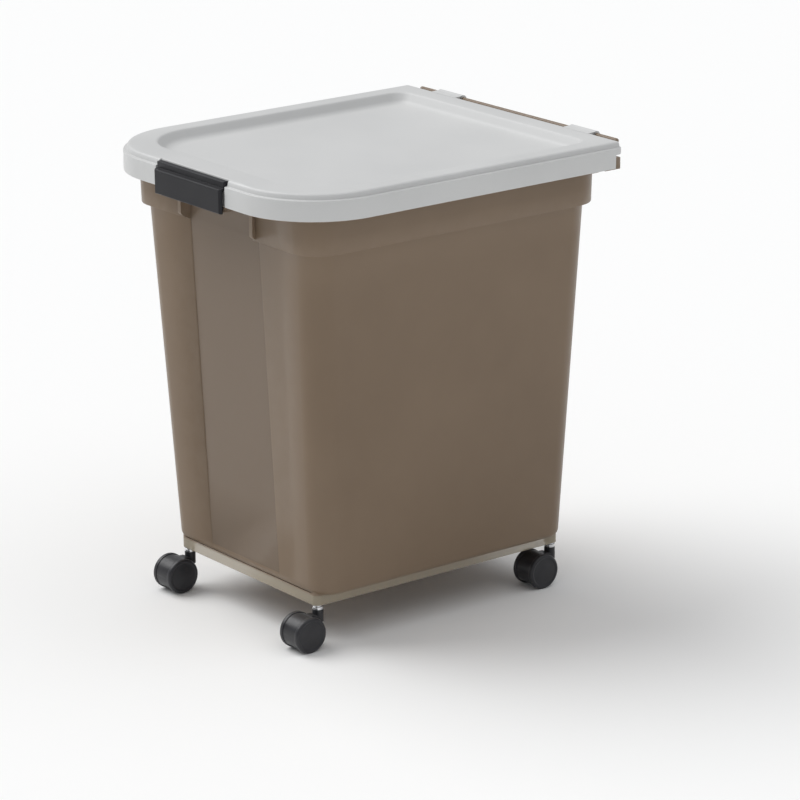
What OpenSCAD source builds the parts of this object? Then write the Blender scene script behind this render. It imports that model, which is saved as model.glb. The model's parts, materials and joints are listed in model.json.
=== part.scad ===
// Rolling pet food bin: a tapered tub with a hinged, latched and gasketed lid, on four twin-wheel casters.
// The origin is on the floor, below the middle of the whole bin. +Z is up, +X is the bin's right side,
// the latch faces -Y and the lid's hinge is along the +Y edge.

/* [Whole bin] */
// Width over the lid
lid_w = 397; // [380:1:410]
// Depth from the latch's front to the back of the hinge bracket
bin_d = 470; // [466:1:480]
// Height to the top of the hinge knuckles
bin_h = 533.4; // [530:0.1:540]

/* [Lid] */
// Depth of the lid's panel, from its front edge to its back edge
lid_d = 452.5; // [448:0.5:454]
// Radius of the lid's two front corners
lid_front_r = 97; // [80:1:105]
// Radius of the lid's two back corners
lid_back_r = 8; // [5:1:12]
// Height of the lid's outer skirt below its ledge
skirt_h = 23; // [20:1:24]
// Depth of the recess in the lid's top
recess_depth = 12; // [8:1:13]
// Wall thickness of the lid
lid_wall = 2.5; // [2:0.1:3]

/* [Tub] */
// Width of the collar below the lid
collar_w = 348; // [340:1:352]
// Depth of the collar below the lid
collar_d = 409; // [404:1:410]
// Height of the collar's lower edge above the floor
collar_z = 460; // [440:1:470]
// Step from the collar in to the body, on each side
collar_step = 8; // [6:0.5:10]
// How far each side leans in from the collar down to the bottom
draft = 19.5; // [15:0.5:22]
// Corner radius of the collar
collar_r = 35; // [30:1:40]
// Wall thickness of the tub
tub_wall = 2.4; // [2:0.1:3]
// Width of the clear panel in the front
panel_w = 132; // [120:1:136]

/* [Latch] */
// Width of the latch
latch_w = 127; // [110:1:130]
// Height of the latch's plate
latch_h = 27.5; // [24:0.5:30]

/* [Casters] */
// Wheel diameter
wheel_dia = 41; // [38:0.5:42]
// Width over both wheels of one caster
wheels_w = 34.4; // [32:0.2:36]
// Distance between the left and right swivel axes
caster_dx = 250; // [240:1:254]
// Distance between the front and rear swivel axes
caster_dy = 335; // [326:1:338]
// Trail from the swivel axis to the wheel axle
trail = 21; // [18:0.5:22]

/* [Hidden] */
$fn = 72;
slice = 0.4;
beyond = 1;

// Hinge: a moulded rod along the back, and the lid's two knuckles that clip round it
rod_r = 2.9;
rod_gap = 0.05;
knuckle_r = 5.2;
rod_y = bin_d / 2 - 5.5;
rod_z = bin_h - knuckle_r;
rod_half = 180;
knuckle_from = 98.5;
knuckle_to = 143.5;
post_t = 3.5;
post_x = [0, 47, 93, 149, 166];

// Lid levels and outline
lid_hw = lid_w / 2;
lid_y0 = -bin_d / 2 + 5;
lid_y1 = lid_y0 + lid_d;
lid_top = bin_h - 1.4;
band_h = 6.5;
band_in = 3.5;
ledge_z = lid_top - band_h;
skirt_z = ledge_z - skirt_h;
back_skirt_z = ledge_z - 7.5;
side_skirt_end = lid_y1 - 11.5;
rim_side = 24;
rim_front = 40;
rim_back = 28;
recess_front_r = 70;
recess_back_r = 20;
pocket_hw = latch_w / 2 + 2;
pocket_depth = 3;
pocket_top_in = 8;

// Tub levels and outline
tub_yc = 10;
rim_z = ledge_z - 4.5;
collar_draft = 1.5;
base_z = 49;
floor_z = 61.5;
floor_t = 2.5;
body_hw = collar_w / 2 - collar_step;
body_hd = collar_d / 2 - collar_step;
body_r = collar_r - 4;
foot_r = 27;
foot_h = 9;
foot_in = 5;
flange_z = skirt_z + 2.5;
flange_t = 2.5;
flange_hw = lid_hw - 5;
bracket_hw = 178;
bracket_z = skirt_z - 7;
bracket_top = skirt_z + 6.5;
ear_w = 6;
ear_out = 4;
panel_in = 1;

// Gasket: a soft ring that stands on the tub's rim
gasket_w = 4.6;
gasket_gap = 0.3;
rib_t = 1.6;

// Latch: a hook over the lid's ledge, hinged on a moulded rod under the tub's flange
latch_y0 = -bin_d / 2;
latch_t = 3.8;
latch_z0 = skirt_z - 7.5;
latch_rod_r = 1.9;
latch_barrel_r = 3.6;
latch_rod_y = lid_y0 + 2.5;
latch_rod_z = skirt_z - 4.4;
latch_barrels = [[-57, 16], [-14, 28], [41, 16]];
latch_lugs = [-62, -37, -22, 19, 34, 59];
lug_t = 3;

// Casters
wheel_r = wheel_dia / 2;
stem_r = 5;
stem_gap = 0.08;
stem_flange_r = 6;
stem_flange_z = 43.2;
stem_flange_h = 4;
stem_top = 70;
groove_z = 60;
groove_h = 3;
socket_r = 7.4;
axle_r = 2;
axle_gap = 0.05;
tread_in = 11;
hood_hw = 10.5;
hood_r = wheel_r - 0.8;
hood_t = 2;
hood_web = 3.3;
neck_r = 6.3;
well_r = hood_r - hood_t;
front_left = [-caster_dx / 2, tub_yc - caster_dy / 2];
front_right = [caster_dx / 2, tub_yc - caster_dy / 2];
rear_left = [-caster_dx / 2, tub_yc + caster_dy / 2];
rear_right = [caster_dx / 2, tub_yc + caster_dy / 2];

// A rounded rectangle from y0 to y1, with its own front and back corner radii
module outline(hw, y0, y1, rf, rb) {
  polygon([[-hw, y0 + rf], [-hw + rf, y0], [hw - rf, y0], [hw, y0 + rf],
           [hw, y1 - rb], [hw - rb, y1], [-hw + rb, y1], [-hw, y1 - rb]]);
  for (s = [-1, 1]) {
    translate([s * (hw - rf), y0 + rf]) circle(r = rf, $fn = 144);
    translate([s * (hw - rb), y1 - rb]) circle(r = rb);
  }
}

// step sets the front and sides further in, and leaves the hinge side flush
module lid_outline(inset, step = 0) {
  in = inset + step;
  outline(lid_hw - in, lid_y0 + in, lid_y1 - inset, lid_front_r - in, max(lid_back_r - inset, 2));
}

module tub_outline(hw, hd, r) {
  outline(hw, tub_yc - hd, tub_yc + hd, r, r);
}

module slab(z) {
  translate([0, 0, z]) linear_extrude(slice) children();
}

module box(lo, hi) {
  translate(lo) cube(hi - lo);
}

// The tapered body, convex, with its lower edge rounded; inset gives the inside
module body_form(inset, z0, z1) {
  hw = body_hw - draft - inset;
  hd = body_hd - draft - inset;
  r = foot_r - inset;
  hull() {
    slab(z1 - slice) tub_outline(body_hw - inset, body_hd - inset, body_r - inset, $fn = 64);
    slab(z0 + foot_h) tub_outline(hw, hd, r, $fn = 64);
    slab(z0 + foot_h / 3) tub_outline(hw - foot_in / 3, hd - foot_in / 3, r - foot_in / 3, $fn = 64);
    slab(z0) tub_outline(hw - foot_in, hd - foot_in, r - foot_in, $fn = 64);
  }
}

module collar_form(inset, z0, z1) {
  top = collar_draft - inset;
  hull() {
    slab(z0) tub_outline(collar_w / 2 - inset, collar_d / 2 - inset, collar_r - inset);
    slab(z1 - slice) tub_outline(collar_w / 2 + top, collar_d / 2 + top, collar_r + top);
  }
}

// The front panel is set back a little all the way up, and under the latch it cuts through the collar,
// which leaves room for fingers. grow gives the inner face of the wall behind it
module front_recess(hw, grow, z_low, z_high) {
  y_top = tub_yc - body_hd + panel_in + grow;
  lean = draft / (collar_z - floor_z - foot_h);
  rotate([90, 0, 90])
    linear_extrude(2 * hw, center = true)
      polygon([[-bin_d, z_low], [y_top + lean * (collar_z - z_low), z_low], [y_top, collar_z],
               [y_top, z_high], [-bin_d, z_high]]);
}

module tub_inside() {
  body_form(tub_wall, floor_z + floor_t, collar_z + floor_t + 0.5);
  difference() {
    collar_form(tub_wall, collar_z + floor_t, rim_z + beyond);
    front_recess(panel_w / 2 + tub_wall, tub_wall, collar_z - 20, flange_z + flange_t);
  }
}

module front_ears() {
  for (s = [-1, 1])
    translate([s * (panel_w / 2 + ear_w / 2 - 0.4), 0, 0])
      rotate([90, 0, 90])
        linear_extrude(ear_w, center = true)
          polygon([[tub_yc - body_hd + 1.5, collar_z - 4], [tub_yc - collar_d / 2 - ear_out, collar_z + 5],
                   [tub_yc - collar_d / 2 - ear_out, flange_z + 1], [tub_yc - body_hd + 1.5, flange_z + 1]]);
}

module tub_flange() {
  front_y = lid_y0 + 5;
  back_y = tub_yc + collar_d / 2;
  difference() {
    union() {
      translate([0, 0, flange_z])
        linear_extrude(flange_t) outline(flange_hw, front_y, back_y, lid_front_r - 5, 30);
      translate([0, 0, flange_z - 4.5])
        linear_extrude(5)
          difference() {
            outline(flange_hw, front_y, back_y, lid_front_r - 5, 30);
            outline(flange_hw - 2, front_y + 2, back_y - 2, lid_front_r - 7, 28);
            translate([-flange_hw, tub_yc + 150]) square([2 * flange_hw, 100]);
          }
    }
    box([-panel_w / 2 - 3, lid_y0 - 10, flange_z - 6],
        [panel_w / 2 + 3, lid_y0 + 8, flange_z + 6]);
  }
}

// The skirt under the body; the sockets of the casters are its corners
module base_skirt() {
  hw = caster_dx / 2 + socket_r;
  hd = caster_dy / 2 + socket_r;
  translate([0, 0, base_z])
    linear_extrude(floor_z + beyond - base_z)
      difference() {
        tub_outline(hw, hd, socket_r);
        tub_outline(hw - tub_wall, hd - tub_wall, socket_r - tub_wall);
      }
}

module caster_sockets() {
  for (c = [front_left, front_right, rear_left, rear_right])
    translate([c[0], c[1], base_z]) cylinder(r = socket_r, h = stem_top + 2.5 - base_z);
}

module socket_bores() {
  for (c = [front_left, front_right, rear_left, rear_right])
    translate([c[0], c[1], 0]) {
      translate([0, 0, base_z - beyond])
        cylinder(r = stem_r + stem_gap, h = stem_top + 0.5 - base_z + beyond);
      translate([0, 0, groove_z]) cylinder(r = stem_r + 0.6, h = groove_h);
    }
}

// The rear bracket is a channel behind the collar; its posts carry the hinge rod
module hinge_bracket() {
  wall_y = tub_yc + collar_d / 2 - 1.5;
  back_y = bin_d / 2;
  box([-bracket_hw, wall_y, bracket_top - tub_wall], [bracket_hw, back_y, bracket_top]);
  box([-bracket_hw, back_y - tub_wall, bracket_z], [bracket_hw, back_y, bracket_top]);
  for (s = [-1, 1])
    translate([s * (bracket_hw - tub_wall / 2), (wall_y + back_y) / 2, (bracket_z + bracket_top) / 2])
      cube([tub_wall, back_y - wall_y, bracket_top - bracket_z], center = true);
  for (s = [-1, 1], x = post_x)
    translate([s * x, 0, 0])
      rotate([90, 0, 90])
        linear_extrude(post_t, center = true)
          polygon([[back_y, bracket_z], [back_y, bracket_top + 2],
                   [rod_y + 2.2, rod_z], [rod_y - 2.2, rod_z], [rod_y - 4, bracket_top - 1],
                   [wall_y, bracket_top - 1], [wall_y, bracket_z]]);
  translate([-rod_half + rod_r, rod_y, rod_z])
    rotate([0, 90, 0]) cylinder(r = rod_r, h = 2 * (rod_half - rod_r));
  for (s = [-1, 1])
    translate([s * (rod_half - rod_r), rod_y, rod_z]) sphere(r = rod_r);
}

module latch_mount() {
  translate([-62, latch_rod_y, latch_rod_z]) rotate([0, 90, 0]) cylinder(r = latch_rod_r, h = 124);
  for (x = latch_lugs)
    translate([x + lug_t / 2, 0, 0])
      rotate([90, 0, 90])
        linear_extrude(lug_t, center = true)
          polygon([[latch_rod_y - 1.6, latch_rod_z - 1.6], [latch_rod_y - 1.6, latch_rod_z + 2.4],
                   [latch_rod_y + 4, skirt_z - 1], [latch_rod_y + 6, flange_z + 1],
                   [tub_yc - body_hd + 2, flange_z + 1], [tub_yc - body_hd + 2, flange_z - 8],
                   [latch_rod_y + 5, latch_rod_z - 2.2]]);
}

module tub() {
  color([0.45, 0.39, 0.33, 0.8])
    difference() {
      union() {
        difference() {
          union() {
            difference() {
              union() {
                body_form(0, floor_z, collar_z + beyond);
                collar_form(0, collar_z, rim_z);
              }
              front_recess(panel_w / 2, 0, floor_z + foot_h, flange_z + 0.8);
            }
            front_ears();
            tub_flange();
            base_skirt();
            hinge_bracket();
            latch_mount();
          }
          tub_inside();
        }
        caster_sockets();
      }
      socket_bores();
    }
}

module lid_upper(inset, z0, z1) {
  hull() {
    slab(z0) lid_outline(inset, band_in, $fn = 96);
    slab(z1 - 2) lid_outline(1 + inset, band_in, $fn = 96);
    slab(z1 - slice) lid_outline(2.6 + inset, band_in, $fn = 96);
  }
}

module recess_outline(hw, y0, y1, tighter) {
  outline(hw, y0, y1, recess_front_r - tighter, recess_back_r - tighter, $fn = 48);
}

// The dished centre of the lid; grow gives the underside of its wall
module recess_form(grow, drop) {
  y0 = lid_y0 + rim_front - grow;
  y1 = lid_y1 - rim_back + grow;
  hw = lid_hw - rim_side + grow;
  z = lid_top - recess_depth - drop;
  hull() {
    slab(lid_top + (drop == 0 ? beyond : -2)) recess_outline(hw - 3.5, y0, y1, 0);
    slab(z + 4.2) recess_outline(hw - 9, y0 + 5.5, y1 - 5.5, 3);
    slab(z + 1.2) recess_outline(hw - 13, y0 + 9.5, y1 - 9.5, 6);
    slab(z) recess_outline(hw - 18.5, y0 + 15, y1 - 15, 10);
  }
}

module latch_pocket(grow) {
  box([-pocket_hw - grow, lid_y0 - 10, skirt_z - beyond],
      [pocket_hw + grow, lid_y0 + pocket_depth + grow, lid_top + beyond]);
  box([-pocket_hw - grow, lid_y0 - 10, ledge_z - grow],
      [pocket_hw + grow, lid_y0 + pocket_top_in + grow, lid_top + beyond]);
}

module lid_cavity() {
  difference() {
    union() {
      translate([0, 0, skirt_z - beyond])
        linear_extrude(ledge_z - lid_wall - skirt_z + beyond) lid_outline(lid_wall);
      lid_upper(lid_wall, ledge_z - lid_wall - slice, lid_top - lid_wall);
    }
    recess_form(1, lid_wall);
    latch_pocket(lid_wall);
  }
}

module gasket_ring(hw, hd, w, r) {
  difference() {
    tub_outline(hw, hd, r);
    tub_outline(hw - w, hd - w, r - w);
  }
}

module gasket_channel() {
  hw = collar_w / 2 + collar_draft - tub_wall / 2 + gasket_w / 2 + rib_t;
  hd = collar_d / 2 + collar_draft - tub_wall / 2 + gasket_w / 2 + rib_t;
  translate([0, 0, rim_z + 0.5])
    linear_extrude(lid_top - lid_wall + 0.5 - rim_z - 0.5)
      difference() {
        gasket_ring(hw, hd, gasket_w + 2 * rib_t, collar_r + 4);
        gasket_ring(hw - rib_t, hd - rib_t, gasket_w, collar_r + 4 - rib_t);
      }
}

// Knuckles: open clips round the hinge rod, joined to the lid's back edge
module lid_knuckles() {
  length = knuckle_to - knuckle_from;
  for (s = [-1, 1])
    translate([s * (knuckle_from + knuckle_to) / 2, 0, 0])
      difference() {
        union() {
          translate([-length / 2 + 0.5, rod_y, rod_z])
            rotate([0, 90, 0]) cylinder(r = knuckle_r, h = length - 1);
          box([-length / 2 + 0.5, lid_y1 - lid_wall - 1, lid_top - 4.5],
              [length / 2 - 0.5, rod_y, lid_top + 0.6]);
        }
        translate([-length / 2 - beyond, rod_y, rod_z])
          rotate([0, 90, 0]) cylinder(r = rod_r + rod_gap, h = length + 2 * beyond);
        translate([0, rod_y, rod_z])
          rotate([30, 0, 0]) translate([0, 0, -5]) cube([length + 2, 4.6, 10], center = true);
      }
}

module lid() {
  color([0.80, 0.81, 0.82]) {
    difference() {
      union() {
        translate([0, 0, skirt_z]) linear_extrude(ledge_z - skirt_z) lid_outline(0);
        lid_upper(0, ledge_z - slice, lid_top);
      }
      recess_form(0, 0);
      latch_pocket(0);
      lid_cavity();
      box([-lid_hw - beyond, side_skirt_end, skirt_z - beyond],
          [lid_hw + beyond, lid_y1 + beyond, back_skirt_z]);
    }
    gasket_channel();
    lid_knuckles();
  }
}

module lid_gasket() {
  hw = collar_w / 2 + collar_draft - tub_wall / 2 + gasket_w / 2;
  hd = collar_d / 2 + collar_draft - tub_wall / 2 + gasket_w / 2;
  color([0.92, 0.92, 0.90])
    translate([0, 0, rim_z + gasket_gap])
      linear_extrude(lid_top - lid_wall - rim_z - gasket_gap - 0.1)
        gasket_ring(hw - 0.05, hd - 0.05, gasket_w - 0.1, collar_r + 4 - rib_t);
}

module latch() {
  y0 = latch_y0;
  z1 = latch_z0 + latch_h;
  hook_z = ledge_z + 0.4;
  hook_y = lid_y0 + pocket_top_in - 0.6;
  web_y = lid_y0 + pocket_depth - 0.4;
  color([0.22, 0.22, 0.24])
    difference() {
      union() {
        intersection() {
          rotate([90, 0, 90])
            linear_extrude(latch_w, center = true)
              polygon([[y0 + latch_t, latch_z0], [y0 + 1, latch_z0], [y0, latch_z0 + 1],
                       [y0, z1 - 1], [y0 + 0.8, z1], [web_y - 2.2, z1 + 1],
                       [web_y - 2.2, hook_z + 4], [web_y - 1.4, hook_z + 4.8],
                       [hook_y - 0.8, hook_z + 4.8], [hook_y, hook_z + 4], [hook_y, hook_z],
                       [web_y, hook_z], [web_y, z1 - 0.5], [y0 + latch_t, z1 - 3.5]]);
          translate([0, 0, latch_z0 - beyond])
            linear_extrude(60)
              polygon([[-latch_w / 2, y0 + 20], [-latch_w / 2, y0 + 2.4], [-latch_w / 2 + 2.4, y0],
                       [latch_w / 2 - 2.4, y0], [latch_w / 2, y0 + 2.4], [latch_w / 2, y0 + 20]]);
        }
        for (b = latch_barrels) {
          translate([b[0], latch_rod_y, latch_rod_z])
            rotate([0, 90, 0]) cylinder(r = latch_barrel_r, h = b[1]);
          box([b[0], y0 + latch_t - 1, latch_rod_z - 2.6], [b[0] + b[1], latch_rod_y, latch_rod_z + 2.6]);
        }
      }
      for (b = latch_barrels) {
        translate([b[0] - beyond, latch_rod_y, latch_rod_z])
          rotate([0, 90, 0]) cylinder(r = latch_rod_r + rod_gap, h = b[1] + 2 * beyond);
        box([b[0] - beyond, latch_rod_y, latch_rod_z - 1.4],
            [b[0] + b[1] + beyond, latch_rod_y + 6, latch_rod_z + 1.4]);
      }
    }
}

module grip_ring(c) {
  color([0.70, 0.70, 0.72])
    translate([c[0], c[1], groove_z + 0.3])
      difference() {
        cylinder(r = stem_r + 0.5, h = groove_h - 0.6);
        translate([0, 0, -beyond]) cylinder(r = stem_r - 0.85, h = groove_h + 2);
        box([-1.2, 0, -beyond], [1.2, 8, groove_h + 2]);
      }
}

module stem(c) {
  color([0.75, 0.75, 0.77])
    translate([c[0], c[1], 0])
      difference() {
        union() {
          translate([0, 0, 34]) cylinder(r = stem_r, h = stem_top - 34 - 1.5);
          translate([0, 0, stem_top - 1.5]) cylinder(r1 = stem_r, r2 = stem_r - 1.5, h = 1.5);
          translate([0, 0, stem_flange_z]) cylinder(r = stem_flange_r, h = stem_flange_h);
        }
        translate([0, 0, groove_z - 0.2])
          difference() {
            cylinder(r = stem_r + 1, h = groove_h + 0.4);
            translate([0, 0, -beyond]) cylinder(r = stem_r - 1, h = groove_h + 3);
          }
      }
}

// The hood is a drum over the tops and fronts of the wheels, with a web between them and a neck for the stem
module hood(c) {
  color([0.12, 0.12, 0.13])
    translate([c[0], c[1], 0])
      difference() {
        union() {
          difference() {
            hood_drum(hood_hw, hood_r);
            translate([0, -trail, wheel_r]) hood_mouth();
          }
          translate([0, 0, 29]) cylinder(r = neck_r, h = stem_flange_z - 29);
          rotate([90, 0, 90])
            linear_extrude(2 * neck_r - 1, center = true)
              polygon([[-trail, wheel_r + hood_r - 1], [-neck_r, wheel_r + hood_r - 2],
                       [-1, 36], [-1, 29], [-trail, 29]]);
          hood_drum(hood_web, 5);
        }
        for (s = [-1, 1])
          translate([s * (hood_web + 5), -trail, wheel_r])
            rotate([0, 90, 0]) cylinder(r = well_r, h = 10, center = true);
        translate([0, 0, 34]) cylinder(r = stem_r, h = 20);
        translate([-hood_hw, -trail, wheel_r]) rotate([0, 90, 0]) cylinder(r = axle_r, h = 2 * hood_hw);
      }
}

module hood_drum(hw, r) {
  translate([-hw, -trail, wheel_r]) rotate([0, 90, 0]) cylinder(r = r, h = 2 * hw);
}

// The open sector of the hood, below and behind the axle
module hood_mouth() {
  rotate([90, 0, 90])
    linear_extrude(3 * hood_hw, center = true)
      polygon([[0, -5], [-40 * cos(35), -40 * sin(35)], [-40, -60], [60, -60], [60, 12], [9, 12], [6, 0]]);
}

module axle(c) {
  color([0.75, 0.75, 0.77])
    translate([c[0] - wheels_w / 2 + 3, c[1] - trail, wheel_r])
      rotate([0, 90, 0]) cylinder(r = axle_r, h = wheels_w - 6);
}

// A wheel: side is -1 for the left one and 1 for the right one
module wheel(c, side) {
  w = wheels_w / 2;
  color([0.13, 0.13, 0.14])
    translate([c[0], c[1] - trail, wheel_r])
      rotate([0, side * 90, 0])
        rotate_extrude()
          polygon([[axle_r + axle_gap, hood_web + 0.4], [well_r - 0.7, hood_web + 0.4],
                   [well_r - 0.7, tread_in], [wheel_r - 0.6, tread_in], [wheel_r, tread_in + 0.6],
                   [wheel_r, w - 2.4], [wheel_r - 0.7, w - 0.9], [wheel_r - 2.2, w - 0.1],
                   [wheel_r - 3.2, w], [wheel_r - 4.6, w - 0.9], [8, w - 0.3], [0, w],
                   [0, w - 2.8], [axle_r + axle_gap, w - 2.8]]);
}

tub();
lid();
lid_gasket();
latch();
grip_ring(front_left);  // caster_front_left_grip_ring
stem(front_left);  // caster_front_left_stem
hood(front_left);  // caster_front_left_hood
axle(front_left);  // caster_front_left_axle
wheel(front_left, -1);  // caster_front_left_wheel_left
wheel(front_left, 1);  // caster_front_left_wheel_right
grip_ring(front_right);  // caster_front_right_grip_ring
stem(front_right);  // caster_front_right_stem
hood(front_right);  // caster_front_right_hood
axle(front_right);  // caster_front_right_axle
wheel(front_right, -1);  // caster_front_right_wheel_left
wheel(front_right, 1);  // caster_front_right_wheel_right
grip_ring(rear_left);  // caster_rear_left_grip_ring
stem(rear_left);  // caster_rear_left_stem
hood(rear_left);  // caster_rear_left_hood
axle(rear_left);  // caster_rear_left_axle
wheel(rear_left, -1);  // caster_rear_left_wheel_left
wheel(rear_left, 1);  // caster_rear_left_wheel_right
grip_ring(rear_right);  // caster_rear_right_grip_ring
stem(rear_right);  // caster_rear_right_stem
hood(rear_right);  // caster_rear_right_hood
axle(rear_right);  // caster_rear_right_axle
wheel(rear_right, -1);  // caster_rear_right_wheel_left
wheel(rear_right, 1);  // caster_rear_right_wheel_right
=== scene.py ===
import json
import math
import bmesh
import bpy
from mathutils import Matrix, Vector

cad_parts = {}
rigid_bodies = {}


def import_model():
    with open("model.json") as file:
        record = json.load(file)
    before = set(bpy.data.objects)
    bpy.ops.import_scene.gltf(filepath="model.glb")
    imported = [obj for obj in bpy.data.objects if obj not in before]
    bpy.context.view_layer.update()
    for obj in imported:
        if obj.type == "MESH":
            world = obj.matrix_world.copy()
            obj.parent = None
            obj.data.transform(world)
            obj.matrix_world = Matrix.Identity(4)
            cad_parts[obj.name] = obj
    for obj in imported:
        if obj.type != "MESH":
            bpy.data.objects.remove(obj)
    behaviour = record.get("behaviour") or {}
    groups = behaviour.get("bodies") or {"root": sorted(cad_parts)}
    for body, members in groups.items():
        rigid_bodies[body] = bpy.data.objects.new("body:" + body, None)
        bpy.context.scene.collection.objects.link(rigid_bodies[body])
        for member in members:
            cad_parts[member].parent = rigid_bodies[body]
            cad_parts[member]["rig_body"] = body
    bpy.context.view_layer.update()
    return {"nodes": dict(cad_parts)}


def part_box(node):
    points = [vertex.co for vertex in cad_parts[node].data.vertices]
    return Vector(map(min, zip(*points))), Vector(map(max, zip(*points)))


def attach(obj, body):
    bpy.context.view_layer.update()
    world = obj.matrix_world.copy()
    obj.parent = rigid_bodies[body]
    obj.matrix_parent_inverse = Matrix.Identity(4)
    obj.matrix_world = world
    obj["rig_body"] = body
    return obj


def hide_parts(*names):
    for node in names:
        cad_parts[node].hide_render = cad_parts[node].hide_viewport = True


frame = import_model()
mm = 0.001
scene = bpy.context.scene
print("frame loaded:", len(frame["nodes"]), "nodes")


# Camera, lights and floor

viewpoint = {
    "azimuth": 52.57,
    "elevation": 17.07,
    "roll": -0.5,
    "aim": (0.0344, 0.0267, 0.2297),
    "distance": 4.308,
    "lens": 169.4,
    "shiftX": 0.0025,
    "shiftY": -0.001,
}
studio = {
    "world": (0.96, 0.97, 1.0),
    "worldStrength": 0.41,
    "keyFrom": (-0.62, -0.34, 0.86),
    "keyStrength": 1.9,
    "keyAngle": 50,
    "fillFrom": (0.35, 0.20, 1.25),
    "fillStrength": 0.62,
    "fillAngle": 70,
    "floorSize": 40.0,
    "floor": (0.94, 0.94, 0.93),
}


def makeCamera():
    azimuth = math.radians(viewpoint["azimuth"])
    elevation = math.radians(viewpoint["elevation"])
    roll = math.radians(viewpoint["roll"])
    back = Vector((math.sin(azimuth) * math.cos(elevation),
                   -math.cos(azimuth) * math.cos(elevation), math.sin(elevation)))
    level = Vector((math.cos(azimuth), math.sin(azimuth), 0))
    rise = back.cross(level)
    right = level * math.cos(roll) + rise * math.sin(roll)
    up = rise * math.cos(roll) - level * math.sin(roll)
    data = bpy.data.cameras.new("binCamera")
    data.lens = viewpoint["lens"]
    data.sensor_width = 36
    data.shift_x = viewpoint["shiftX"]
    data.shift_y = viewpoint["shiftY"]
    data.clip_end = 100
    camera = bpy.data.objects.new("binCamera", data)
    scene.collection.objects.link(camera)
    turn = Matrix((right, up, back)).transposed().to_4x4()
    place = Vector(viewpoint["aim"]) + back * viewpoint["distance"]
    camera.matrix_world = Matrix.Translation(place) @ turn
    scene.camera = camera


def makeSun(name, source, strength, angle):
    data = bpy.data.lights.new(name, "SUN")
    data.energy = strength
    data.angle = math.radians(angle)
    sun = bpy.data.objects.new(name, data)
    sun.rotation_euler = Vector(source).to_track_quat("Z", "Y").to_euler()
    scene.collection.objects.link(sun)


def makeStudio():
    world = bpy.data.worlds.new("studio")
    world.use_nodes = True
    background = world.node_tree.nodes["Background"]
    background.inputs["Color"].default_value = (*studio["world"], 1)
    background.inputs["Strength"].default_value = studio["worldStrength"]
    scene.world = world
    makeSun("keySun", studio["keyFrom"], studio["keyStrength"], studio["keyAngle"])
    makeSun("fillSun", studio["fillFrom"], studio["fillStrength"], studio["fillAngle"])
    bm = bmesh.new()
    bmesh.ops.create_grid(bm, x_segments=1, y_segments=1, size=studio["floorSize"] / 2)
    mesh = bpy.data.meshes.new("floor")
    bm.to_mesh(mesh)
    bm.free()
    floor = bpy.data.objects.new("floor", mesh)
    scene.collection.objects.link(floor)
    material = bpy.data.materials.new("floorPaint")
    material.use_nodes = True
    shader = material.node_tree.nodes["Principled BSDF"]
    shader.inputs["Base Color"].default_value = (*studio["floor"], 1)
    shader.inputs["Roughness"].default_value = 0.9
    shader.inputs["Specular IOR Level"].default_value = 0.1
    mesh.materials.append(material)


makeCamera()
makeStudio()
scene.view_settings.view_transform = "Standard"
print("camera, lights and floor made")


# Shader node groups that several finishes share

def newGroup(name, inputs, outputs):
    tree = bpy.data.node_groups.new(name, "ShaderNodeTree")
    for label, kind, value in inputs:
        socket = tree.interface.new_socket(label, in_out="INPUT", socket_type=kind)
        if value is not None:
            socket.default_value = value
    for label, kind in outputs:
        tree.interface.new_socket(label, in_out="OUTPUT", socket_type=kind)
    return tree, tree.nodes.new("NodeGroupInput"), tree.nodes.new("NodeGroupOutput")


def mathNode(tree, operation, first, second=None, third=None, clamp=False):
    node = tree.nodes.new("ShaderNodeMath")
    node.operation = operation
    node.use_clamp = clamp
    for slot, value in zip(node.inputs, (first, second, third)):
        if value is None:
            continue
        if isinstance(value, (int, float)):
            slot.default_value = value
        else:
            tree.links.new(value, slot)
    return node.outputs[0]


def noiseNode(tree, vector, scale, detail=3.0, roughness=0.5):
    node = tree.nodes.new("ShaderNodeTexNoise")
    node.inputs["Detail"].default_value = detail
    node.inputs["Roughness"].default_value = roughness
    tree.links.new(vector, node.inputs["Vector"])
    if isinstance(scale, (int, float)):
        node.inputs["Scale"].default_value = scale
    else:
        tree.links.new(scale, node.inputs["Scale"])
    return node.outputs[0]


def rangeNode(tree, value, low, high, newLow, newHigh):
    node = tree.nodes.new("ShaderNodeMapRange")
    for label, number in (("From Min", low), ("From Max", high), ("To Min", newLow), ("To Max", newHigh)):
        if isinstance(number, (int, float)):
            node.inputs[label].default_value = number
        else:
            tree.links.new(number, node.inputs[label])
    tree.links.new(value, node.inputs["Value"])
    return node.outputs[0]


# Spark-eroded mould texture: a fine height, and a slow change of tone from the flow of the plastic
def makeGrainGroup():
    tree, given, result = newGroup("mouldGrain", [
        ("Vector", "NodeSocketVector", None), ("Grain Scale", "NodeSocketFloat", 1800.0),
        ("Flow Scale", "NodeSocketFloat", 9.0)],
        [("Height", "NodeSocketFloat"), ("Tone", "NodeSocketFloat")])
    fine = noiseNode(tree, given.outputs["Vector"], given.outputs["Grain Scale"], 2.0, 0.6)
    broad = noiseNode(tree, given.outputs["Vector"], 160.0, 3.0, 0.5)
    height = mathNode(tree, "MULTIPLY_ADD", fine, 0.7, mathNode(tree, "MULTIPLY", broad, 0.3))
    flow = noiseNode(tree, given.outputs["Vector"], given.outputs["Flow Scale"], 4.0, 0.55)
    tree.links.new(height, result.inputs["Height"])
    tree.links.new(rangeNode(tree, flow, 0.3, 0.7, 0.0, 1.0), result.inputs["Tone"])
    return tree


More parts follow.
